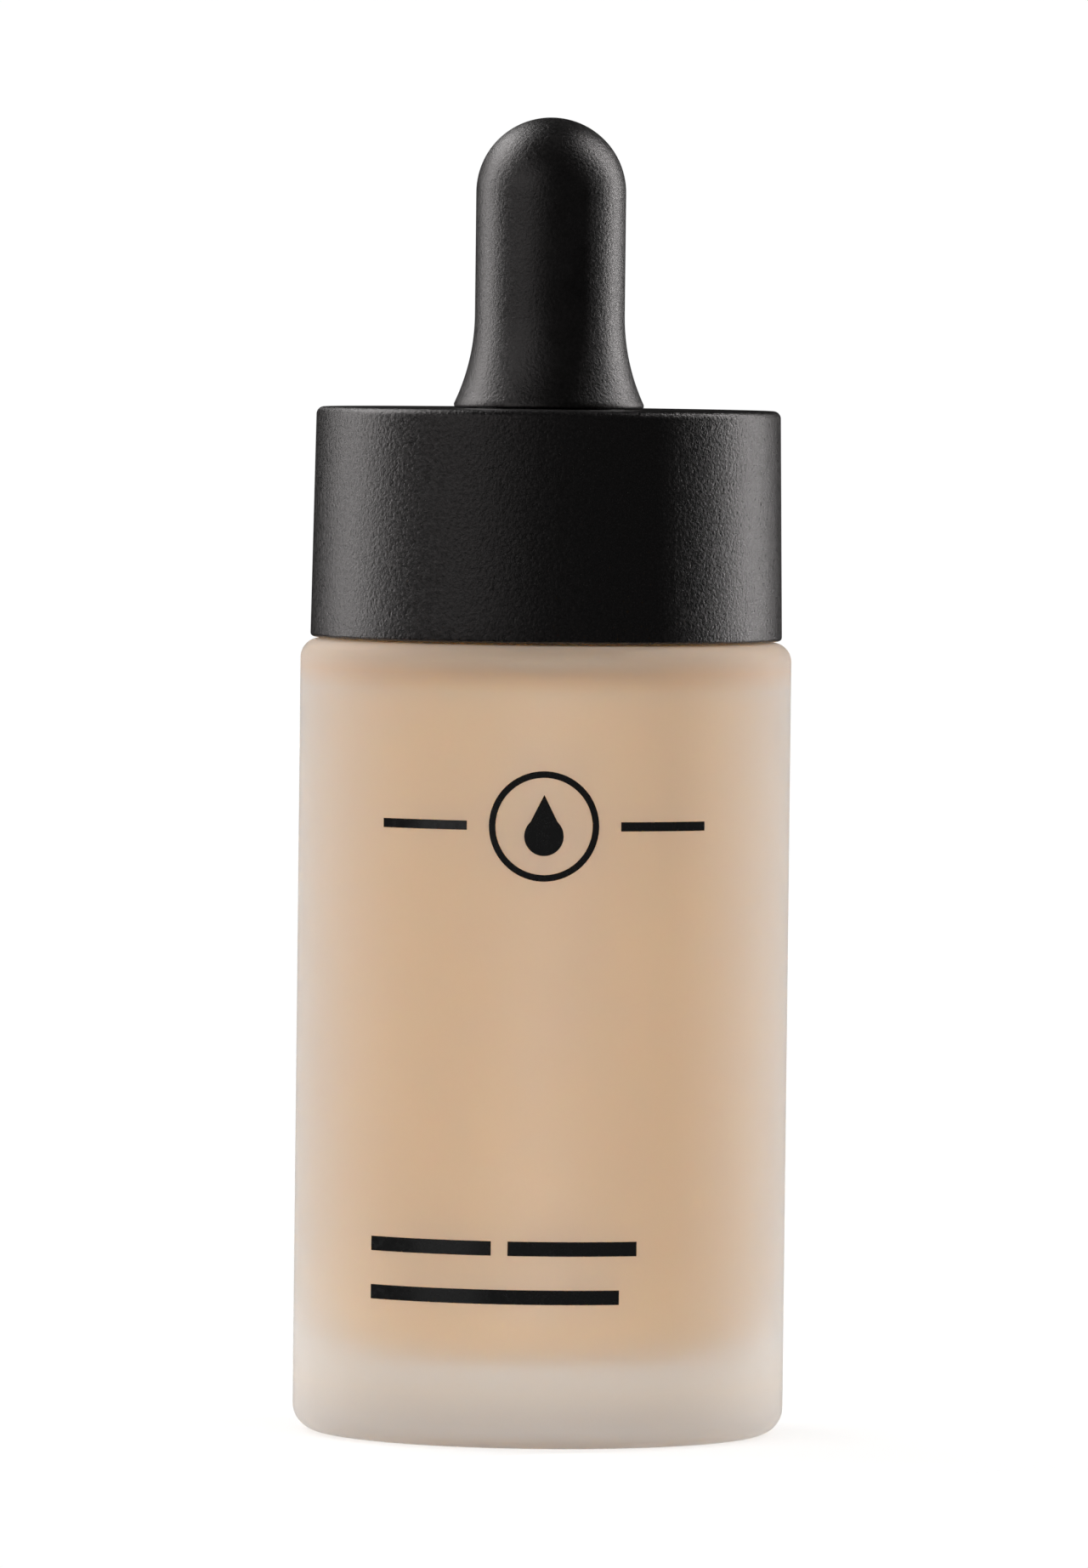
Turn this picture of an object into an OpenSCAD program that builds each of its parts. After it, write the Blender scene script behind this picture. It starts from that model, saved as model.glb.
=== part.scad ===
// Dropper bottle for liquid foundation: a heavy frosted glass bottle, a screw-on
// closure with a rubber bulb and a glass pipette, and the wiper in the bottle's neck.
// Origin: centre of the base, on the surface that the bottle stands on. +Z is up,
// and the printed front faces -Y. The thread is right-handed: seen from above, the
// closure turns counter-clockwise to come off.

/* [Bottle] */
// Outer diameter of the glass body
body_d = 38; // [37.4:0.1:40]
// Height of the flat shoulder above the standing surface
shoulder_z = 61.3; // [56:0.1:70]
// Thickness of the glass side wall
wall = 4.5; // [3.5:0.25:5.5]
// Thickness of the glass base
base_t = 6; // [4:0.5:6.5]
// Thickness of the glass shoulder
shoulder_t = 2.2; // [2:0.1:3.5]
// Rounding of the base's outer edge
heel_r = 2; // [1:0.1:3]
// Rounding of the shoulder's outer edge
shoulder_r = 1.5; // [1:0.1:2]

/* [Neck] */
// Outer diameter of the neck, at the root of its thread
neck_d = 18; // [17.6:0.1:18.2]
// Bore of the neck
neck_bore_d = 13.6; // [13.4:0.1:14]
// Height of the neck above the shoulder
neck_h = 13; // [12.6:0.1:13.2]
// Rise of the screw thread in one turn
thread_pitch = 3.175; // [3:0.025:3.3]

/* [Closure] */
// Outer diameter of the closure at its lower edge
cap_d_low = 36.5; // [35.5:0.1:37.2]
// Outer diameter of the closure at its top edge
cap_d_top = 35.94; // [34.5:0.02:36.4]
// Height of the closure's shell
cap_h = 17.78; // [17.5:0.02:18.3]
// Wall of the closure's shell
cap_wall = 1.5; // [1.2:0.1:2]

/* [Bulb] */
// Diameter of the bulb's straight stretch
bulb_d = 11.6; // [11:0.1:12.5]
// Height of the bulb above the closure
bulb_h = 22.5; // [20:0.5:26]
// Diameter of the bulb's flared foot
foot_d = 14.7; // [14:0.1:15.5]
// Wall of the bulb
bulb_wall = 1.2; // [1:0.1:1.5]

/* [Pipette] */
// Outer diameter of the glass tube
pipette_d = 7; // [6.6:0.1:7]
// Wall of the glass tube
pipette_wall = 1; // [0.7:0.1:1.2]
// Height of the tube's tip above the standing surface
tip_z = 8; // [7.5:0.1:12]

/* [Contents] */
// Height of the foundation's surface above the standing surface
fill_z = 57.4; // [40:0.1:57.5]

/* [Hidden] */
$fn = 96;
eps = 0.01;      // overlap that joins two shapes of one solid
gap = 0.05;      // space between two pieces that rest on each other

body_r = body_d / 2;
cavity_r = body_r - wall;
cavity_top = shoulder_z - shoulder_t;
cavity_floor_r = 4;
cavity_shoulder_r = 1.6;
neck_r = neck_d / 2;
bore_r = neck_bore_d / 2;
neck_top = shoulder_z + neck_h;

// Recess in the underside, and the label in it
recess_r = 13.5;
recess_h = 0.8;
label_r = 11.5;
label_t = 0.12;

// Stack clamped between the neck's rim and the top of the shell, from below
flange_r = neck_r - 0.1;
wiper_low = neck_top + gap;
wiper_top = wiper_low + 0.75;
gasket_low = wiper_top + gap;
gasket_top = gasket_low + 0.55;
flange_low = gasket_top + gap;
flange_top = flange_low + 1.2;
screw_plate = flange_top + gap;
screw_top = screw_plate + 0.95;
shell_plate = screw_top + gap;
cap_low = shoulder_z + 0.12;
cap_top = cap_low + cap_h;

// Threads: both are trapezoids of one section, the neck's standing out, the cap's in
thread_depth = 0.8;
thread_foot = 2;
thread_crest = 0.8;
thread_turns = 1.5;
thread_play = 0.1;    // axial space between the flanks that bear on each other
thread_step = 7.5;    // degrees between the sections of a sweep
thread_fade = 40;     // degrees over which an end runs out
thread_root = 0.4;    // how far the section reaches into the wall
thread_sink = 0.15;   // how far the crest is under the surface where a thread starts
neck_thread_z = shoulder_z + 4.6;
screw_bore_r = neck_r + thread_depth + 0.25;
thread_slope = (thread_foot - thread_crest) / 2 / thread_depth;
flank_drop = thread_foot - thread_slope * (screw_bore_r - neck_r) + thread_play;

// Screw cap
screw_low = cap_low + 1;
screw_r = 11.6;
aperture_r = 5.9;
ridges = 24;
ridge_w = 0.8;
ridge_h = 0.45;

// Shell
edge_r = 0.6;
lip_r = 0.3;
ribs = 12;
rib_w = 1;
rib_low = cap_low + 2.5;

// Bulb
bulb_r = bulb_d / 2;
bulb_top = cap_top + bulb_h;
dome_z = bulb_top - bulb_r;
stem_r = aperture_r - 0.1;
foot_r = foot_d / 2;
foot_z = cap_top + 0.1;
foot_edge = 0.25;
flare_rise = 6.9;
flare_w = foot_r - bulb_r;
flare_r = (flare_rise * flare_rise + flare_w * flare_w) / (2 * flare_w);
pocket_z = cap_top + 2.4;
chamber_z = cap_top + 4.4;

// Pipette
pipette_r = pipette_d / 2;
pipette_bore_r = pipette_r - pipette_wall;
pipette_top = pocket_z + 1.3;
bead_r = 0.6;
bead_out = 0.25;      // how far the bead stands out from the tube
tube_gap = 0.08;      // radial space round the tube
taper_h = 9;
tip_r = 1.9;
tip_bore_r = 1.1;

// Print: a plain drop in a ring between two rules, and plain bars as lines of text
print_t = 0.06;
mark_z = 47.6;
mark_ring_r = 4.2;
mark_stroke = 0.5;
drop_r = 1.5;
drop_w = 1.2;         // half width of the drop's point where it meets the round part
drop_h = 2.4;
rule_h = 0.7;
rule_angle = 29;      // degrees from the front to the middle of a rule
rule_span = 22;       // degrees that a rule covers
bar_h = 1.1;
// Each bar: the height of its centre, and the degrees from the front where it starts and ends
bars = [[15.4, -42.4, -11.2], [15.4, -7.3, 22.9], [11.7, -42.4, 18.7]];

// ---- Shared shapes ----

// What a rounding of radius r takes off the corner at [x, y]. sx and sy point outwards.
module corner_cut(x, y, r, sx, sy) {
    translate([x - sx * r, y - sy * r]) difference() {
        translate([sx > 0 ? 0 : -r - 1, sy > 0 ? 0 : -r - 1]) square(r + 1);
        circle(r = r);
    }
}

// A rectangle from r0 to r1 and z0 to z1, turned about Z.
module ring(r0, r1, z0, z1) {
    rotate_extrude() translate([r0, z0]) square([r1 - r0, z1 - z0]);
}

// Section of a thread in the plane of its radius, counter-clockwise, at a share from
// 0, where its crest is still under the surface, to 1. side is 1 for a thread that
// stands out from r, and -1 for one that stands in.
function thread_section(r, side, share) = let (
        root = r - side * thread_root,
        root_half = thread_foot / 2 + thread_slope * thread_root,
        crest = r + side * (share * (thread_depth + thread_sink) - thread_sink),
        points = [[root, -root_half], [crest, -thread_crest / 2],
                  [crest, thread_crest / 2], [root, root_half]])
    side > 0 ? points : [for (i = [3:-1:0]) points[i]];

module thread(r, side, z) {
    total = 360 * thread_turns;
    steps = round(total / thread_step);
    n = 4;
    points = [for (i = [0:steps])
        let (angle = i * thread_step, share = min(1, angle / thread_fade, (total - angle) / thread_fade))
            for (p = thread_section(r, side, share))
                [p[0] * cos(angle), p[0] * sin(angle), z + thread_pitch * angle / 360 + p[1]]];
    sides = [for (i = [0:steps - 1], k = [0:n - 1])
        let (a = i * n + k, b = i * n + (k + 1) % n)
            each [[a, b, b + n], [a, b + n, a + n]]];
    ends = [[for (k = [n - 1:-1:0]) k], [for (k = [0:n - 1]) steps * n + k]];
    polyhedron(points = points, faces = concat(sides, ends));
}

// ---- Bottle ----

// Half section of the cavity, drawn in from the glass by inset.
module cavity(inset) {
    r = cavity_r - inset;
    low = base_t + inset;
    top = cavity_top - inset;
    difference() {
        translate([0, low]) square([r, top - low]);
        corner_cut(r, low, cavity_floor_r - inset, 1, -1);
        corner_cut(r, top, cavity_shoulder_r - inset, 1, 1);
    }
}

module glass_bottle() {
    color("antiquewhite") {
        rotate_extrude() difference() {
            union() {
                square([body_r, shoulder_z]);
                square([neck_r, neck_top]);
            }
            corner_cut(body_r, 0, heel_r, 1, -1);
            corner_cut(body_r, shoulder_z, shoulder_r, 1, 1);
            corner_cut(neck_r, neck_top, 0.5, 1, 1);
            cavity(0);
            translate([0, cavity_top - eps]) square([bore_r, neck_top]);
            translate([0, -1]) square([recess_r, recess_h + 1]);
        }
        thread(neck_r, 1, neck_thread_z);
    }
}

// The foundation fills the cavity round the tube, a hair inside the glass.
module foundation_fill() {
    color("burlywood") rotate_extrude() difference() {
        cavity(gap);
        translate([0, fill_z]) square([body_r, shoulder_z]);
        translate([0, tip_z - 0.6]) square([pipette_r + tube_gap, shoulder_z]);
    }
}

// A flanged sleeve in the neck, whose funnel ends in the lip that wipes the tube.
module wiper_insert() {
    plug_r = bore_r - 0.02;
    inner_r = plug_r - 1;
    low = neck_top - 9;
    lip = pipette_r + tube_gap;
    color("white") rotate_extrude() polygon([
        [lip, low], [plug_r - 0.6, low], [plug_r, low + 1.2], [plug_r, wiper_low],
        [flange_r, wiper_low], [flange_r, wiper_top], [inner_r, wiper_top],
        [inner_r, low + 4], [lip, low + 0.6]]);
}

module base_label() {
    color("whitesmoke") translate([0, 0, recess_h - label_t - eps])
        cylinder(r = label_r, h = label_t);
}

// ---- Print on the front ----

// Lays a flat shape on the front of the body.
module on_front(z) {
    intersection() {
        translate([0, 0, z]) rotate([90, 0, 0]) linear_extrude(body_r + 1) children();
        ring(body_r + eps, body_r + print_t, z - mark_ring_r - 1, z + mark_ring_r + 1, $fn = 720);
    }
}

// A bar along the body, between two angles from the front.
module bar(z, h, from, to) {
    rotate([0, 0, from - 90]) rotate_extrude(angle = to - from, $fn = 720)
        translate([body_r + eps, z - h / 2]) square([print_t - eps, h]);
}

module front_print() {
    color("black") {
        on_front(mark_z) difference() {
            circle(r = mark_ring_r);
            circle(r = mark_ring_r - mark_stroke);
        }
        on_front(mark_z) union() {
            translate([0, -drop_r / 2]) circle(r = drop_r);
            polygon([[-drop_w, 0], [0, drop_h], [drop_w, 0]]);
        }
        for (side = [-1, 1])
            bar(mark_z, rule_h, side * rule_angle - rule_span / 2, side * rule_angle + rule_span / 2);
        for (b = bars) bar(b[0], bar_h, b[1], b[2]);
    }
}

// ---- Closure ----

module neck_gasket() {
    color("lightgray") ring(pipette_r + 0.6, flange_r, gasket_low, gasket_top);
}

// The black shell: a drafted skirt with a holed top, and ribs inside that reach in
// between the screw cap's ridges.
module cap_shell() {
    low_r = cap_d_low / 2;
    top_r = cap_d_top / 2;
    color([0.09, 0.09, 0.09]) {
        rotate_extrude() difference() {
            polygon([
                [aperture_r, shell_plate], [top_r - cap_wall, shell_plate],
                [low_r - cap_wall, cap_low], [low_r, cap_low], [low_r, cap_low + lip_r],
                [top_r, cap_top - edge_r], [top_r, cap_top], [aperture_r, cap_top]]);
            corner_cut(low_r, cap_low, lip_r, 1, -1);
            corner_cut(top_r, cap_top, edge_r, 1, 1);
        }
        for (i = [0:ribs - 1])
            rotate([0, 0, i * 360 / ribs]) translate([screw_r + gap, -rib_w / 2, rib_low])
                cube([top_r - cap_wall / 2 - screw_r - gap, rib_w, shell_plate + eps - rib_low]);
    }
}

// The inner cap, with an internal thread, a holed top and ridges outside.
module screw_cap() {
    color("gainsboro") {
        difference() {
            translate([0, 0, screw_low]) cylinder(r = screw_r, h = screw_top - screw_low);
            translate([0, 0, screw_low - 1])
                cylinder(r = screw_bore_r, h = screw_plate - screw_low + 1);
            translate([0, 0, screw_low]) cylinder(r = aperture_r, h = cap_h);
        }
        for (i = [0:ridges - 1])
            rotate([0, 0, (i + 0.5) * 360 / ridges])
                translate([screw_r - 0.2, -ridge_w / 2, screw_low + 1])
                    cube([0.2 + ridge_h, ridge_w, screw_top - screw_low - 1]);
        thread(screw_bore_r, -1, neck_thread_z - flank_drop);
    }
}

// A glass tube with a bead at the top, which the bulb grips, and a drawn tip.
module glass_pipette() {
    color([0.8, 0.88, 0.9, 0.6]) rotate_extrude() difference() {
        union() {
            polygon([[0, tip_z], [tip_r, tip_z], [pipette_r, tip_z + taper_h],
                     [pipette_r, pipette_top - bead_r], [0, pipette_top - bead_r]]);
            translate([0, pipette_top - bead_r - eps])
                square([pipette_r + bead_out - bead_r, bead_r + eps]);
            translate([pipette_r + bead_out - bead_r, pipette_top - bead_r]) circle(r = bead_r);
        }
        polygon([[-1, tip_z - 1], [tip_bore_r, tip_z - 1], [tip_bore_r, tip_z],
                 [pipette_bore_r, tip_z + taper_h], [pipette_bore_r, pipette_top + 1],
                 [-1, pipette_top + 1]]);
    }
}

// The bulb: a domed tube with a flared foot on the shell, a stem through both holed
// tops, and a flange that the screw cap presses on to the neck.
module rubber_bulb() {
    flare_top = foot_z + foot_edge + flare_rise;
    color([0.12, 0.12, 0.12]) rotate_extrude() difference() {
        union() {
            translate([0, flange_low]) square([flange_r, flange_top - flange_low]);
            translate([0, flange_low]) square([stem_r, foot_z + eps - flange_low]);
            difference() {
                translate([0, foot_z]) square([foot_r, flare_top - foot_z]);
                translate([bulb_r + flare_r, flare_top]) circle(r = flare_r);
            }
            translate([0, foot_z]) square([bulb_r, dome_z - foot_z]);
            intersection() {
                translate([0, dome_z]) circle(r = bulb_r);
                translate([0, dome_z - eps]) square(bulb_r + 1);
            }
        }
        translate([0, flange_low - 1]) square([pipette_r + gap, bulb_h]);
        translate([0, pocket_z]) square([pipette_r + bead_out + gap, bulb_h / 2]);
        translate([0, chamber_z]) square([bulb_r - bulb_wall, dome_z - chamber_z]);
        translate([0, dome_z - eps]) intersection() {
            circle(r = bulb_r - bulb_wall);
            square(bulb_r);
        }
    }
}

glass_bottle();
foundation_fill();
wiper_insert();
base_label();
front_print();
neck_gasket();
cap_shell();
screw_cap();
glass_pipette();
rubber_bulb();
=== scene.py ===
"""The looks of the dropper bottle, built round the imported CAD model.

Every piece of this object is turned about the bottle's axis, so each is made by
turn(): an outline in millimetres, as (radius, height) points, swept round +Z, with a
shape function where the piece isn't round, as for threads, ridges and ribs."""

import math

import bpy
from mathutils import Matrix, Vector

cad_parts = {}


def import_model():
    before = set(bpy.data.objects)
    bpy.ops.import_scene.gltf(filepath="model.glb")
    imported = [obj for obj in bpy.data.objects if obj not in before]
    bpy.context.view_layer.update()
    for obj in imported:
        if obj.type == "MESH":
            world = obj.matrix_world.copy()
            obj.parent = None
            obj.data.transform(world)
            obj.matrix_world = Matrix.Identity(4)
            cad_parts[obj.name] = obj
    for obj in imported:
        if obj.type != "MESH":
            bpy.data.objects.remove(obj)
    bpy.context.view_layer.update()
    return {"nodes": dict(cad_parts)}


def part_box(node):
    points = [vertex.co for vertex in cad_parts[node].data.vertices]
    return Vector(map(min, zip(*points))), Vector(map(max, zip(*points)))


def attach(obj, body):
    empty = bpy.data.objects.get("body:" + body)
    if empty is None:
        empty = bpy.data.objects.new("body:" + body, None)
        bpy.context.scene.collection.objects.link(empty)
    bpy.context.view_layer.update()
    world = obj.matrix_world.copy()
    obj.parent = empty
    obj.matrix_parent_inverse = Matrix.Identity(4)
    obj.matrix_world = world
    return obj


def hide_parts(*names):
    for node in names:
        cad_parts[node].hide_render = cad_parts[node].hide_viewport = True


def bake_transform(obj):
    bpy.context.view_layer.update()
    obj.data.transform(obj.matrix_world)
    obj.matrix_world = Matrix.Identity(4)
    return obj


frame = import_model()

MM = 0.001
SEGMENTS = 192


def span(node):
    """A CAD node's outer radius, lowest and highest z, in millimetres."""
    low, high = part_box(node)
    return high.x / MM, low.z / MM, high.z / MM


# ---- Sizes, in millimetres: the frame's where it holds them, else those of the design ----

BODY_R, _, NECK_TOP = span("glass_bottle")
_, FILL_LOW, FILL_TOP = span("foundation_fill")
FLANGE_R, WIPER_LOW, WIPER_TOP = span("wiper_insert")
LABEL_R, LABEL_LOW, LABEL_TOP = span("base_label")
_, GASKET_LOW, GASKET_TOP = span("neck_gasket")
CAP_R, CAP_LOW, CAP_TOP = span("cap_shell")
RIDGE_R, SCREW_LOW, SCREW_TOP = span("screw_cap")
BEAD_R, TIP_Z, TUBE_TOP = span("glass_pipette")
_, BULB_LOW, BULB_TOP = span("rubber_bulb")

GAP = 0.05
SHOULDER_Z = CAP_LOW - 0.12
CAVITY_R = 14.5
CAVITY_LOW = FILL_LOW - GAP
CAVITY_TOP = SHOULDER_Z - 2.2
CAVITY_FLOOR_R = 4
CAVITY_SHOULDER_R = 1.6
HEEL_R = 2
SHOULDER_R = 1.5
RECESS_R = 13.5
RECESS_H = 0.8
NECK_R = 9
BORE_R = 6.8
CAP_TOP_R = CAP_R - 0.28
CAP_WALL = 1.5
PLATE_T = CAP_TOP - SCREW_TOP - GAP
HOLE_R = 5.9
SCREW_R = 11.6
SCREW_BORE_R = 10.05
SCREW_PLATE_T = 0.95
RIDGES = 24
RIBS = 12
RIB_W = 1
RIB_LOW = CAP_LOW + 2.5
BULB_R = 5.8
BULB_WALL = 1.2
FOOT_R = 7.35
FOOT_Z = CAP_TOP + 0.1
FLARE_RISE = 6.9
TUBE_R = 3.5
TUBE_BORE_R = 2.5
TUBE_GAP = 0.08
TAPER_H = 9
TIP_R = 1.9
TIP_BORE_R = 1.1
PITCH = 3.175
THREAD_TURNS = 1.5
THREAD_H = 0.8
THREAD_FOOT = 2
THREAD_CREST = 0.8
THREAD_FADE = 40  # degrees over which a thread's end rises out of its cylinder
NECK_THREAD_Z = SHOULDER_Z + 4.6
THREAD_DROP = 1.3125  # how far the cap's thread lies below the neck's, flank on flank


# ---- Meshes ----


def arc(r, z, radius, start, end, count=8):
    """Points on an arc about (r, z), from start to end in degrees, 0 pointing outwards."""
    angles = [math.radians(start + (end - start) * i / count) for i in range(count + 1)]
    return [(r + radius * math.cos(a), z + radius * math.sin(a)) for a in angles]


def fine(points, step):
    """The outline with its long straight stretches cut into lengths of about step."""
    out = [points[0]]
    for (r0, z0), (r1, z1) in zip(points, points[1:]):
        cuts = max(1, round(math.hypot(r1 - r0, z1 - z0) / step))
        out += [(r0 + (r1 - r0) * i / cuts, z0 + (z1 - z0) * i / cuts) for i in range(1, cuts + 1)]
    return out


def turn(name, outline, shape=None, closed=False, angles=None):
    """Sweeps an outline, in millimetres, round +Z. An open outline starts and ends on
    the axis. shape(radius, z, angle) gives a point's radius where it isn't round."""
    angles = angles or [2 * math.pi * i / SEGMENTS for i in range(SEGMENTS)]
    count = len(angles)
    places, faces, rows = [], [], []
    for r, z in outline:
        if r < 1e-6:
            rows.append([len(places)] * count)
            places.append((0, 0, z * MM))
            continue
        rows.append(list(range(len(places), len(places) + count)))
        for a in angles:
            radius = (shape(r, z, a) if shape else r) * MM
            places.append((radius * math.cos(a), radius * math.sin(a), z * MM))
    pairs = list(zip(rows, rows[1:])) + ([(rows[-1], rows[0])] if closed else [])
    for lower, upper in pairs:
        for i in range(count):
            j = (i + 1) % count
            corners = [lower[i], lower[j], upper[j], upper[i]]
            faces.append(tuple(dict.fromkeys(corners)))
    mesh = bpy.data.meshes.new(name)
    mesh.from_pydata(places, [], faces)
    mesh.validate()
    mesh.shade_smooth()
    mesh.set_sharp_from_angle(angle=math.radians(40))
    piece = bpy.data.objects.new(name, mesh)
    bpy.context.scene.collection.objects.link(piece)
    return piece


def helix(z, angle, z0, turns):
    """How far a thread stands up at a place on its cylinder, from 0 to THREAD_H."""
    total = 360 * turns
    stand = 0
    for extra in range(math.ceil(turns) + 1):
        run = math.degrees(angle) + 360 * extra
        if run > total:
            break
        share = min(1, run / THREAD_FADE, (total - run) / THREAD_FADE)
        away = abs(z - z0 - PITCH * run / 360)
        flank = (THREAD_FOOT / 2 - away) / (THREAD_FOOT - THREAD_CREST) * 2
        stand = max(stand, min(1, flank) * share * THREAD_H)
    return stand


def rides(piece, body, slot, *nodes):
    """Puts a piece on a body, in place of CAD nodes. slot is not used."""
    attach(piece, body)
    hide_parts(*nodes)


# ---- Materials ----


def material(name, colour, roughness, **sockets):
    """A Principled material, and its node tree and shader."""
    mat = bpy.data.materials.new(name)
    mat.use_nodes = True
    tree = mat.node_tree
    shader = tree.nodes["Principled BSDF"]
    shader.inputs["Base Color"].default_value = (*colour, 1)
    shader.inputs["Roughness"].default_value = roughness
    for socket, value in sockets.items():
        shader.inputs[socket.replace("_", " ")].default_value = value
    return mat, tree, shader


def noise(tree, size_mm, detail=2, stretch=(1, 1, 1), roughness=0.5):
    """A noise over the object, whose lumps are about size_mm across. Gives its Fac."""
    place = tree.nodes.new("ShaderNodeTexCoord")
    scale = tree.nodes.new("ShaderNodeMapping")
    scale.inputs["Scale"].default_value = stretch
    texture = tree.nodes.new("ShaderNodeTexNoise")
    texture.inputs["Scale"].default_value = 1 / (size_mm * MM)
    texture.inputs["Detail"].default_value = detail
    texture.inputs["Roughness"].default_value = roughness
    tree.links.new(place.outputs["Object"], scale.inputs["Vector"])
    tree.links.new(scale.outputs["Vector"], texture.inputs["Vector"])
    return texture.outputs["Fac"]


def ramp(tree, value, stops):
    """value through a colour ramp. stops are (position, colour or number) pairs."""
    node = tree.nodes.new("ShaderNodeValToRGB")
    node.color_ramp.interpolation = "LINEAR"
    elements = node.color_ramp.elements
    while len(elements) < len(stops):
        elements.new(0.5)
    for element, (position, colour) in zip(elements, stops):
        element.position = position
        rgb = colour if isinstance(colour, tuple) else (colour, colour, colour)
        element.color = (*rgb, 1)
    tree.links.new(value, node.inputs["Fac"])
    return node.outputs["Color"]


def bump(tree, shader, value, depth_mm, strength=1.0, under=None):
    """Bumps a shader by value, depth_mm deep, on top of another bump. Gives its Normal."""
    node = tree.nodes.new("ShaderNodeBump")
    node.inputs["Distance"].default_value = depth_mm * MM
    node.inputs["Strength"].default_value = strength
    tree.links.new(value, node.inputs["Height"])
    if under:
        tree.links.new(under, node.inputs["Normal"])
    tree.links.new(node.outputs["Normal"], shader.inputs["Normal"])
    return node.outputs["Normal"]


def vary(tree, shader, socket, value, stops):
    """Feeds one of a shader's sockets from a value, through a ramp."""
    tree.links.new(ramp(tree, value, stops), shader.inputs[socket])


def height_share(tree, low_mm, high_mm):
    """The object's height, from 0 at low_mm to 1 at high_mm."""
    place = tree.nodes.new("ShaderNodeTexCoord")
    parts = tree.nodes.new("ShaderNodeSeparateXYZ")
    share = tree.nodes.new("ShaderNodeMapRange")
    share.inputs["From Min"].default_value = low_mm * MM
    share.inputs["From Max"].default_value = high_mm * MM
    tree.links.new(place.outputs["Object"], parts.inputs["Vector"])
    tree.links.new(parts.outputs["Z"], share.inputs["Value"])
    return share.outputs["Result"]


def frosted_glass():
    """Acid-etched glass: a fine matte surface that blurs what is behind it. Its tint changes with
    height, and this is painted light and shade.
    It is darker at the very bottom of the base (painted shade), then warm and lighter above it
    (painted light that the foundation scatters into the solid base).
    In the shoulder under the closure it is a warm, darker band of painted foundation light and
    painted shade. Its sheen stands in for the haze of the frost."""
    mat, tree, shader = material(
        "frosted_glass", (0.94, 0.92, 0.89), 0.58,
        IOR=1.5, Transmission_Weight=0.8, Specular_IOR_Level=0.25,
        Sheen_Weight=0.46, Sheen_Roughness=0.58)
    shader.inputs["Sheen Tint"].default_value = (0.78, 0.8, 0.82, 1)
    grain = noise(tree, 0.12, 3)
    # painted light and shade by height: a darker base bottom, warm and lighter bands above it, and
    # a warm darker shoulder band under the closure
    vary(tree, shader, "Base Color", height_share(tree, 0, SHOULDER_Z),
         [(0.03, (0.8, 0.75, 0.705)), (0.07, (0.96, 0.875, 0.775)),
          (0.12, (0.98, 0.96, 0.93)), (0.25, (0.93, 0.91, 0.88)),
          (0.94, (0.93, 0.91, 0.88)), (0.965, (1, 0.77, 0.57)), (0.99, (0.98, 0.82, 0.65))])
    vary(tree, shader, "Roughness", noise(tree, 2.5, 3), [(0.3, 0.57), (0.7, 0.65)])
    bump(tree, shader, grain, 0.02, 0.35)
    return mat


def clear_glass(name="clear_glass"):
    """Smooth glass, with the faint waviness of a drawn or moulded surface."""
    mat, tree, shader = material(name, (0.97, 0.985, 0.98), 0, IOR=1.5, Transmission_Weight=1)
    bump(tree, shader, noise(tree, 4, 1), 0.02, 0.5)
    return mat


def foundation():
    """Opaque skin-tone liquid with the faintest swirl of pigment."""
    mat, tree, shader = material(
        "foundation", (0.67, 0.35, 0.036), 0.35,
        Subsurface_Weight=0.3, Subsurface_Scale=0.002, IOR=1.4)
    shader.inputs["Subsurface Radius"].default_value = (1, 0.5, 0.3)
    vary(tree, shader, "Base Color", noise(tree, 9, 3, (1, 1, 0.4)),
         [(0.3, (0.71, 0.38, 0.05)), (0.7, (0.62, 0.315, 0.022))])
    bump(tree, shader, noise(tree, 6, 2), 0.1, 0.3)
    return mat


def black_plastic():
    """Matte moulded plastic. Its spark-eroded grain varies its gloss as well as its relief."""
    mat, tree, shader = material("shell_plastic", (0.003, 0.0029, 0.0029), 0.5, IOR=1.6)
    shader.inputs["Specular Tint"].default_value = (1, 0.93, 0.92, 1)
    grain = noise(tree, 0.28, 3, roughness=0.7)
    vary(tree, shader, "Roughness", grain, [(0.35, 0.27), (0.65, 0.42)])
    vary(tree, shader, "Specular IOR Level", grain, [(0.35, 0.5), (0.65, 1)])
    coarse = bump(tree, shader, noise(tree, 0.7, 3), 0.02, 0.5)
    bump(tree, shader, grain, 0.07, 1, coarse)
    return mat


def black_rubber():
    """Satin moulded rubber, a little greyer where the mould was polished less."""
    mat, tree, shader = material("bulb_rubber", (0.003, 0.0029, 0.0029), 0.44, IOR=1.65)
    shader.inputs["Specular Tint"].default_value = (1, 0.94, 0.93, 1)
    vary(tree, shader, "Base Color", noise(tree, 3, 3),
         [(0.35, (0.002, 0.0019, 0.0019)), (0.7, (0.004, 0.0038, 0.0038))])
    grain = noise(tree, 0.25, 3, roughness=0.7)
    vary(tree, shader, "Roughness", grain, [(0.35, 0.3), (0.65, 0.46)])
    vary(tree, shader, "Specular IOR Level", grain, [(0.35, 0.7), (0.65, 1)])
    coarse = bump(tree, shader, noise(tree, 1.1, 2), 0.03, 0.3)
    bump(tree, shader, grain, 0.055, 1, coarse)
    return mat


def white_plastic(name, colour, roughness, translucent=0.2):
    """Natural polyethylene or polypropylene, slightly see-through."""
    mat, tree, shader = material(
        name, colour, roughness, Subsurface_Weight=translucent, Subsurface_Scale=0.001)
    vary(tree, shader, "Roughness", noise(tree, 1.5, 3),
         [(0.3, roughness - 0.05), (0.7, roughness + 0.05)])
    bump(tree, shader, noise(tree, 0.4, 3), 0.01, 0.4)
    return mat


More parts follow.
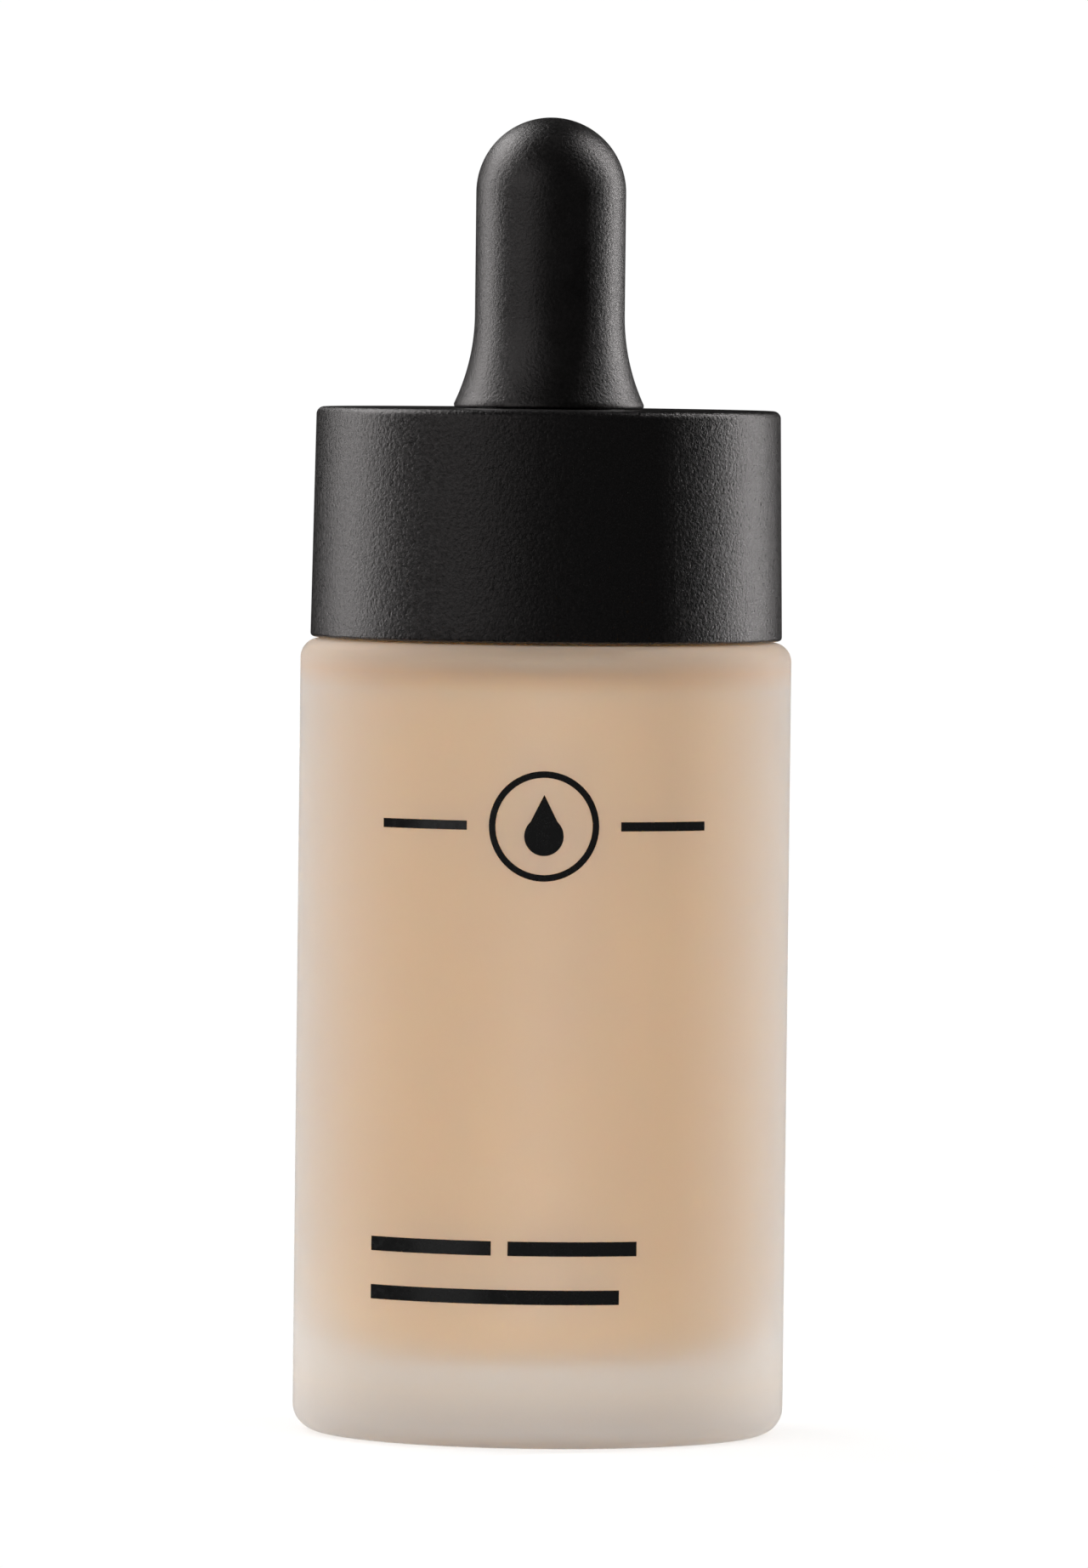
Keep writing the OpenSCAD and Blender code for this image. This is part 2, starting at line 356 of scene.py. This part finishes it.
def paper():
    """Coated label paper with a trace of fibre."""
    mat, tree, shader = material("label_paper", (0.84, 0.83, 0.80), 0.55)
    fibre = noise(tree, 0.5, 5, (1, 0.25, 1))
    vary(tree, shader, "Base Color", fibre, [(0.3, (0.80, 0.79, 0.76)), (0.7, (0.87, 0.86, 0.83))])
    bump(tree, shader, fibre, 0.01, 0.5)
    return mat


def ink():
    """Glossy black screen print, with the slight unevenness of a thick film."""
    mat, tree, shader = material("print_ink", (0.006, 0.006, 0.006), 0.22, IOR=1.5)
    vary(tree, shader, "Roughness", noise(tree, 0.5, 3), [(0.3, 0.16), (0.7, 0.32)])
    bump(tree, shader, noise(tree, 0.25, 2), 0.01, 0.4)
    return mat


# ---- The bottle ----


def bottle():
    """The glass, one closed surface: frosted outside, clear in the neck and cavity."""
    outside = (
        [(0, RECESS_H), (LABEL_R + 1, RECESS_H)]
        + arc(RECESS_R - 0.4, RECESS_H - 0.4, 0.4, 90, 0, 6)
        + arc(RECESS_R + 0.2, 0.2, 0.2, 180, 270, 4)
        + arc(BODY_R - HEEL_R, HEEL_R, HEEL_R, -90, 0, 16)
        + arc(BODY_R - SHOULDER_R, SHOULDER_Z - SHOULDER_R, SHOULDER_R, 0, 90, 12)
        + arc(NECK_R + 0.6, SHOULDER_Z + 0.6, 0.6, 270, 180, 6)[:-1]
    )
    neck = (
        fine([(NECK_R, SHOULDER_Z + 0.6), (NECK_R, NECK_TOP - 0.6)], 0.16)
        + arc(NECK_R - 0.5, NECK_TOP - 0.5, 0.5, 0, 90, 6)
        + [(BORE_R + 0.3, NECK_TOP)]
        + arc(BORE_R + 0.3, NECK_TOP - 0.3, 0.3, 90, 180, 4)[1:]
        + [(BORE_R, CAVITY_TOP + 0.5)]
        + arc(BORE_R + 0.5, CAVITY_TOP + 0.5, 0.5, 180, 270, 4)[1:]
    )
    cavity = (
        arc(CAVITY_R - CAVITY_SHOULDER_R, CAVITY_TOP - CAVITY_SHOULDER_R,
            CAVITY_SHOULDER_R, 90, 0, 12)
        + arc(CAVITY_R - CAVITY_FLOOR_R, CAVITY_LOW + CAVITY_FLOOR_R, CAVITY_FLOOR_R, 0, -90, 14)
        + [(0, CAVITY_LOW)]
    )

    def threaded(r, z, angle):
        if abs(r - NECK_R) > 0.01:
            return r
        return r + helix(z, angle, NECK_THREAD_Z, THREAD_TURNS)

    piece = turn("bottle_glass", outside + neck + cavity, threaded)
    piece.data.materials.append(frosted_glass())
    piece.data.materials.append(clear_glass("bottle_glass_inside"))
    first_inside = (len(outside) - 1) * SEGMENTS
    for face in piece.data.polygons[first_inside:]:
        face.material_index = 1
    rides(piece, "bottle", "frosted_glass", "glass_bottle")


def fill():
    """The foundation, with a meniscus at the tube and a film that coats the cavity up
    to the neck. It reaches a hair into the glass, so that no air shows between them."""
    wet = 0.02
    film = 0.25
    corner_r = CAVITY_R - CAVITY_SHOULDER_R
    corner_z = CAVITY_TOP - CAVITY_SHOULDER_R
    inset_r = CAVITY_SHOULDER_R + wet
    film_inner_r = CAVITY_SHOULDER_R - film
    edge_angle = math.degrees(math.asin((FILL_TOP + film - corner_z) / film_inner_r))
    edge_r = corner_r + film_inner_r * math.cos(math.radians(edge_angle))
    hole_r = TUBE_R + TUBE_GAP
    climb = 0.5
    floor_r = CAVITY_FLOOR_R + wet
    outline = (
        [(0, CAVITY_LOW - wet)]
        + arc(CAVITY_R - CAVITY_FLOOR_R, CAVITY_LOW + CAVITY_FLOOR_R, floor_r, -90, 0, 14)
        + arc(corner_r, corner_z, inset_r, 0, 90, 10)
        + arc(BORE_R + 1.2, CAVITY_TOP - film / 2, film / 2, 90, 270, 4)
        + arc(corner_r, corner_z, film_inner_r, 90, edge_angle, 6)
        + arc(edge_r - climb, FILL_TOP + film, climb, 0, -90, 5)[1:]
        + arc(hole_r + climb, FILL_TOP, climb, 270, 180, 5)
        + [(hole_r, TIP_Z - 0.6), (0, TIP_Z - 0.6)])
    piece = turn("foundation", fine(outline, 3))
    piece.data.materials.append(foundation())
    rides(piece, "bottle", "foundation", "foundation_fill")


def wiper():
    """The flanged sleeve in the neck, with its funnel and lip."""
    plug_r = BORE_R - 0.02
    inner_r = plug_r - 1
    low = NECK_TOP - 9
    lip_r = TUBE_R + TUBE_GAP
    outline = (
        arc(lip_r + 0.3, low + 0.3, 0.3, 180, 270, 4)
        + [(plug_r - 0.7, low), (plug_r - 0.4, low + 0.1), (plug_r, low + 1.2),
           (plug_r, WIPER_LOW + 0.05), (FLANGE_R - 0.2, WIPER_LOW + 0.05)]
        + arc(FLANGE_R - 0.25, WIPER_TOP - 0.25, 0.25, 0, 90, 4)
        + arc(inner_r + 0.3, WIPER_TOP - 0.3, 0.3, 90, 180, 4)
        + [(inner_r, low + 4.2), (inner_r - 0.15, low + 3.8), (lip_r, low + 0.6)]
    )
    piece = turn("wiper", fine(outline, 1.5), closed=True)
    piece.data.materials.append(white_plastic("wiper_plastic", (0.80, 0.80, 0.77), 0.4, 0.4))
    rides(piece, "bottle", "wiper_plastic", "wiper_insert")


def label():
    """A thin blank paper disc with a slightly soft edge."""
    thick = LABEL_TOP - LABEL_LOW
    outline = [
        (0, LABEL_LOW), (LABEL_R - 0.2, LABEL_LOW), (LABEL_R - 0.03, LABEL_LOW + thick * 0.25),
        (LABEL_R, LABEL_LOW + thick * 0.6), (LABEL_R, LABEL_TOP), (0, LABEL_TOP)]
    piece = turn("label", fine(outline, 2.5))
    piece.data.materials.append(paper())
    rides(piece, "bottle", "label_paper", "base_label")


# ---- The closure ----


def gasket():
    """The foam washer on the wiper's flange."""
    hole_r = TUBE_R + 0.6
    edge = 0.12
    outline = (
        arc(hole_r + edge, GASKET_LOW + edge, edge, 180, 270, 3)
        + arc(FLANGE_R - edge, GASKET_LOW + edge, edge, -90, 0, 3)
        + arc(FLANGE_R - edge, GASKET_TOP - edge, edge, 0, 90, 3)
        + arc(hole_r + edge, GASKET_TOP - edge, edge, 90, 180, 3))
    piece = turn("gasket", outline, closed=True)
    piece.data.materials.append(white_plastic("gasket_foam", (0.78, 0.78, 0.75), 0.6))
    rides(piece, "seal", "gasket_foam", "neck_gasket")


def shell():
    """The black shell, its inside folded in to make the ribs."""
    plate_z = CAP_TOP - PLATE_T
    top_wall = CAP_TOP_R - CAP_WALL
    outside = (
        arc(CAP_R - CAP_WALL + 0.3, CAP_LOW + 0.3, 0.3, 180, 270, 4)
        + arc(CAP_R - 0.3, CAP_LOW + 0.3, 0.3, -90, 0, 6)
        + fine([(CAP_R, CAP_LOW + 0.3), (CAP_TOP_R, CAP_TOP - 0.6)], 1.5)[1:-1]
        + arc(CAP_TOP_R - 0.6, CAP_TOP - 0.6, 0.6, 0, 90, 12)
        + fine([(CAP_TOP_R - 0.6, CAP_TOP), (HOLE_R + 0.3, CAP_TOP)], 1.5)[1:-1]
        + arc(HOLE_R + 0.3, CAP_TOP - 0.3, 0.3, 90, 180, 5)
        + [(HOLE_R, plate_z), (SCREW_R, plate_z)]
    )
    inside = [(top_wall, plate_z), (top_wall - 0.001, RIB_LOW), (top_wall + 0.1, RIB_LOW - 0.05)]
    steps = SEGMENTS // RIBS
    angles = []
    for rib in range(RIBS):
        middle = 2 * math.pi * rib / RIBS
        half = RIB_W / 2 / SCREW_R
        gap_from, gap_to = middle + half, middle + 2 * math.pi / RIBS - half
        angles += [middle - half + 1e-4, middle, middle + half - 1e-4]
        angles += [gap_from + (gap_to - gap_from) * i / steps for i in range(steps + 1)]

    def ribbed(r, z, angle):
        if abs(r - top_wall) > 0.01:
            return r
        off = (angle + math.pi / RIBS) % (2 * math.pi / RIBS) - math.pi / RIBS
        return SCREW_R + GAP if abs(off) < RIB_W / 2 / SCREW_R - 1e-5 else r

    piece = turn("shell", outside + inside, ribbed, closed=True, angles=angles)
    piece.data.materials.append(black_plastic())
    rides(piece, "closure", "shell_plastic", "cap_shell")


def inner_cap():
    """The screw cap, with ridges outside and its thread inside."""
    plate_z = SCREW_TOP - SCREW_PLATE_T
    outline = (
        arc(SCREW_R - 0.3, SCREW_LOW + 0.3, 0.3, -90, 0, 4)
        + [(SCREW_R, SCREW_LOW + 1), (SCREW_R + 0.001, SCREW_LOW + 1.05)]
        + fine([(SCREW_R + 0.001, SCREW_LOW + 1.05), (SCREW_R + 0.001, SCREW_TOP - 0.3)], 2)[1:]
        + arc(SCREW_R - 0.3, SCREW_TOP - 0.3, 0.3, 0, 90, 4)[1:]
        + arc(HOLE_R + 0.2, SCREW_TOP - 0.2, 0.2, 90, 180, 3)
        + [(HOLE_R, plate_z), (SCREW_BORE_R - 0.4, plate_z)]
        + arc(SCREW_BORE_R - 0.4, plate_z - 0.4, 0.4, 90, 0, 4)
        + fine([(SCREW_BORE_R, plate_z - 0.5), (SCREW_BORE_R, SCREW_LOW + 0.3)], 0.16)
        + arc(SCREW_BORE_R + 0.25, SCREW_LOW + 0.25, 0.25, 180, 270, 3))

    def shaped(r, z, angle):
        if abs(r - SCREW_BORE_R) < 1e-6:
            return r - helix(z, angle, NECK_THREAD_Z - THREAD_DROP, THREAD_TURNS)
        if abs(r - SCREW_R - 0.001) < 1e-6:
            wave = 0.5 - 0.5 * math.cos(angle * RIDGES)
            return SCREW_R + (RIDGE_R - SCREW_R) * wave**4
        return r

    piece = turn("inner_cap", outline, shaped, closed=True)
    piece.data.materials.append(white_plastic("inner_cap_plastic", (0.76, 0.76, 0.74), 0.3))
    rides(piece, "closure", "inner_cap_plastic", "screw_cap")


def pipette():
    """The glass tube: a fire-polished bead at the top and a drawn tip."""
    bead = 0.6
    outline = (
        arc((TIP_R + TIP_BORE_R) / 2, TIP_Z + 0.35, (TIP_R - TIP_BORE_R) / 2, 180, 360, 8)
        + fine([(TIP_R, TIP_Z + 0.35), (TUBE_R, TIP_Z + TAPER_H)], 1)[1:]
        + fine([(TUBE_R, TIP_Z + TAPER_H), (TUBE_R, TUBE_TOP - 2 * bead)], 4)[1:]
        + arc(BEAD_R - bead, TUBE_TOP - bead, bead, -60, 90, 10)
        + arc(TUBE_BORE_R + 0.3, TUBE_TOP - 0.3, 0.3, 90, 180, 4)
        + fine([(TUBE_BORE_R, TUBE_TOP - 0.3), (TUBE_BORE_R, TIP_Z + TAPER_H)], 4)[1:]
        + fine([(TUBE_BORE_R, TIP_Z + TAPER_H), (TIP_BORE_R, TIP_Z + 0.35)], 1)[1:-1])
    piece = turn("pipette", outline, closed=True)
    piece.data.materials.append(clear_glass())
    rides(piece, "closure", "clear_glass", "glass_pipette")


def bulb():
    """The rubber bulb: a hollow dome on a flared foot. On the real bulb a squeeze presses the dome
    down and the foot stays put.
    """
    flange_top = SCREW_TOP - SCREW_PLATE_T - GAP
    stem_r = HOLE_R - 0.1
    dome_z = BULB_TOP - BULB_R
    flare_top = FOOT_Z + 0.25 + FLARE_RISE
    flare_w = FOOT_R - BULB_R
    flare_r = (FLARE_RISE**2 + flare_w**2) / (2 * flare_w)
    flare_end = math.degrees(math.asin(FLARE_RISE / flare_r))
    chamber_r = BULB_R - BULB_WALL
    chamber_z = CAP_TOP + 4.4
    pocket_z = CAP_TOP + 2.4
    grip_r = TUBE_R + GAP
    pocket_r = BEAD_R + GAP
    inside = (
        [(0, BULB_TOP - BULB_WALL)]
        + arc(0, dome_z, chamber_r, 90, 0, 16)[1:]
        + fine([(chamber_r, dome_z), (chamber_r, chamber_z)], 0.7)[1:]
        + [(pocket_r, chamber_z), (pocket_r, pocket_z), (grip_r, pocket_z), (grip_r, BULB_LOW)])
    outside = (
        arc(FLANGE_R - 0.2, BULB_LOW + 0.2, 0.2, -90, 0, 3)
        + arc(FLANGE_R - 0.2, flange_top - 0.2, 0.2, 0, 90, 3)
        + [(stem_r, flange_top), (stem_r, FOOT_Z)]
        + arc(FOOT_R - 0.12, FOOT_Z + 0.12, 0.12, -90, 0, 4)
        + arc(BULB_R + flare_r, flare_top, flare_r, 180 + flare_end, 180, 20)
        + fine([(BULB_R, flare_top), (BULB_R, dome_z)], 0.7)[1:-1]
        + arc(0, dome_z, BULB_R, 0, 90, 28)[:-1]
        + [(0, BULB_TOP)])
    piece = turn("bulb", inside + outside)
    piece.data.materials.append(black_rubber())
    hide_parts("rubber_bulb")
    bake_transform(piece)


# ---- Stage, light and camera ----


def floor():
    """A pale disc that fades out into the white surroundings."""
    size = 0.1
    rings, count = 12, 96
    fade_from, fade_to = 0.019, 0.08
    middle_alpha = 0.5
    mesh = bpy.data.meshes.new("floor")
    places = [(0, 0, 0)]
    faces = []
    for ring in range(1, rings + 1):
        r = size * ring / rings
        for i in range(count):
            a = 2 * math.pi * i / count
            places.append((r * math.cos(a), r * math.sin(a), 0))
    for i in range(count):
        j = (i + 1) % count
        faces.append((0, 1 + i, 1 + j))
        for ring in range(rings - 1):
            inner = 1 + ring * count
            outer = inner + count
            faces.append((inner + i, outer + i, outer + j, inner + j))
    mesh.from_pydata(places, [], faces)
    obj = bpy.data.objects.new("floor", mesh)
    bpy.context.scene.collection.objects.link(obj)
    mat, tree, shader = material("floor", (0.9, 0.9, 0.9), 0.7, Emission_Strength=0.28)
    shader.inputs["Emission Color"].default_value = (1, 1, 1, 1)
    place = tree.nodes.new("ShaderNodeTexCoord")
    length = tree.nodes.new("ShaderNodeVectorMath")
    length.operation = "LENGTH"
    fade = tree.nodes.new("ShaderNodeMapRange")
    fade.inputs["From Min"].default_value = fade_from
    fade.inputs["From Max"].default_value = fade_to
    fade.inputs["To Min"].default_value = middle_alpha
    fade.inputs["To Max"].default_value = 0
    tree.links.new(place.outputs["Object"], length.inputs[0])
    tree.links.new(length.outputs["Value"], fade.inputs["Value"])
    tree.links.new(fade.outputs["Result"], shader.inputs["Alpha"])
    mesh.materials.append(mat)
    obj.visible_glossy = False


def world():
    """White surroundings, of a level that depends on the kind of ray: full to the
    camera, less through glass, and nearly none in the sheen of the black parts."""
    scene = bpy.context.scene
    scene.world = bpy.data.worlds.new("studio")
    scene.world.use_nodes = True
    tree = scene.world.node_tree
    path = tree.nodes.new("ShaderNodeLightPath")
    background = tree.nodes["Background"]
    background.inputs["Color"].default_value = (1, 1, 1, 1)
    least = 0.01
    level = None
    for ray, weight in (("Is Camera Ray", 1.0), ("Is Diffuse Ray", 0.5),
                        ("Is Transmission Ray", 0.39), ("Is Singular Ray", 0.3)):
        node = tree.nodes.new("ShaderNodeMath")
        node.operation = "MULTIPLY_ADD"
        node.inputs[1].default_value = weight
        node.inputs[2].default_value = least
        tree.links.new(path.outputs[ray], node.inputs[0])
        if level:
            tree.links.new(level, node.inputs[2])
        level = node.outputs[0]
    tree.links.new(level, background.inputs["Strength"])


def lamp(name, angle, height, distance, size, power, aim, sheen=True):
    """A soft box, aimed at a place: angle is in degrees round the bottle from the front
    towards +X. One without sheen doesn't show as a reflection."""
    light = bpy.data.lights.new(name, "AREA")
    light.shape = "RECTANGLE"
    light.size, light.size_y = size
    light.energy = power
    obj = bpy.data.objects.new(name, light)
    bpy.context.scene.collection.objects.link(obj)
    a = math.radians(angle)
    obj.location = (distance * math.sin(a), -distance * math.cos(a), height)
    obj.rotation_euler = (Vector(aim) - obj.location).to_track_quat("-Z", "Y").to_euler()
    obj.visible_glossy = sheen


def lights():
    """Soft boxes that show in the black parts, and fills that don't."""
    middle = (0, 0, 0.06)
    lamp("left_box", -112, 0.22, 0.5, (0.24, 0.7), 1.6, middle)
    lamp("left_wide", -44, 0.25, 0.7, (0.45, 0.6), 0.42, middle)
    lamp("right_box", 119, 0.22, 0.5, (0.05, 0.75), 1.9, middle)
    lamp("top_box", -140, 0.42, 0.42, (0.25, 0.25), 0.6, (0, 0, 0.09))
    lamp("left_fill", -50, 0.3, 0.7, (0.5, 0.6), 1.1, middle, sheen=False)
    lamp("right_fill", 50, 0.3, 0.7, (0.5, 0.6), 1.2, middle, sheen=False)
    lamp("front_fill", 0, -0.05, 0.7, (0.2, 0.2), 2.2, (0, 0, 0.03), sheen=False)


def camera():
    """A little above the closure's top, looking slightly down, and rolled a little."""
    distance, height = 1.04, 0.0875
    look = Vector((-0.00004, 0, 0.05015))
    roll = 0.0114
    data = bpy.data.cameras.new("camera")
    data.lens = 308.6
    data.sensor_width = 36
    data.clip_start, data.clip_end = 0.01, 10
    cam = bpy.data.objects.new("camera", data)
    bpy.context.scene.collection.objects.link(cam)
    place = Vector((look.x, -distance, height))
    turn_to = (look - place).to_track_quat("-Z", "Y").to_matrix().to_4x4()
    cam.matrix_world = Matrix.Translation(place) @ turn_to @ Matrix.Rotation(roll, 4, "Z")
    bpy.context.scene.camera = cam


bottle()
fill()
wiper()
label()
gasket()
shell()
inner_cap()
pipette()
bulb()
frame["nodes"]["front_print"].data.materials.clear()
frame["nodes"]["front_print"].data.materials.append(ink())
floor()
world()
lights()
camera()
bpy.context.scene.view_settings.view_transform = "Standard"
